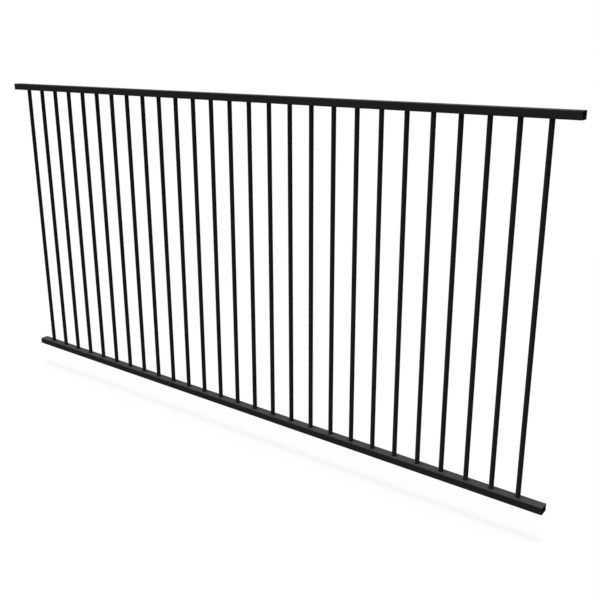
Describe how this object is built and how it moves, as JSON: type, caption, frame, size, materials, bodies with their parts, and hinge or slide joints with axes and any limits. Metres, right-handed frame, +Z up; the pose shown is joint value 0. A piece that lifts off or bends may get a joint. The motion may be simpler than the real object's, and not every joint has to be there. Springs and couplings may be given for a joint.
{
  "type": "pool fence panel",
  "caption": "Flat-top pool fence panel: round tube pickets between two open-ended flat box rails, in black powder-coated aluminium, to be held by brackets at its rail ends.",
  "frame": {"origin": "on the underside of the bottom rail, at the middle of its length and depth", "axes": "+X along the panel to its right-hand end seen from the front, -Y to the front, +Z up from the bottom rail to the top rail"},
  "size_m": [2.45, 0.035, 1.2],
  "materials": {
    "rail_coat": "black powder coat, low sheen, on aluminium tube",
    "picket_coat": "black powder coat, low sheen, on aluminium tube"
  },
  "bodies": {
    "root": {"bottom_rail": "rail_coat", "top_rail": "rail_coat", "picket_01": "picket_coat", "picket_02": "picket_coat", "picket_03": "picket_coat", "picket_04": "picket_coat", "picket_05": "picket_coat", "picket_06": "picket_coat", "picket_07": "picket_coat", "picket_08": "picket_coat", "picket_09": "picket_coat", "picket_10": "picket_coat", "picket_11": "picket_coat", "picket_12": "picket_coat", "picket_13": "picket_coat", "picket_14": "picket_coat", "picket_15": "picket_coat", "picket_16": "picket_coat", "picket_17": "picket_coat", "picket_18": "picket_coat", "picket_19": "picket_coat", "picket_20": "picket_coat", "picket_21": "picket_coat", "picket_22": "picket_coat", "picket_23": "picket_coat", "picket_24": "picket_coat", "picket_25": "picket_coat", "picket_26": "picket_coat", "picket_27": "picket_coat"}
  },
  "joints": []
}
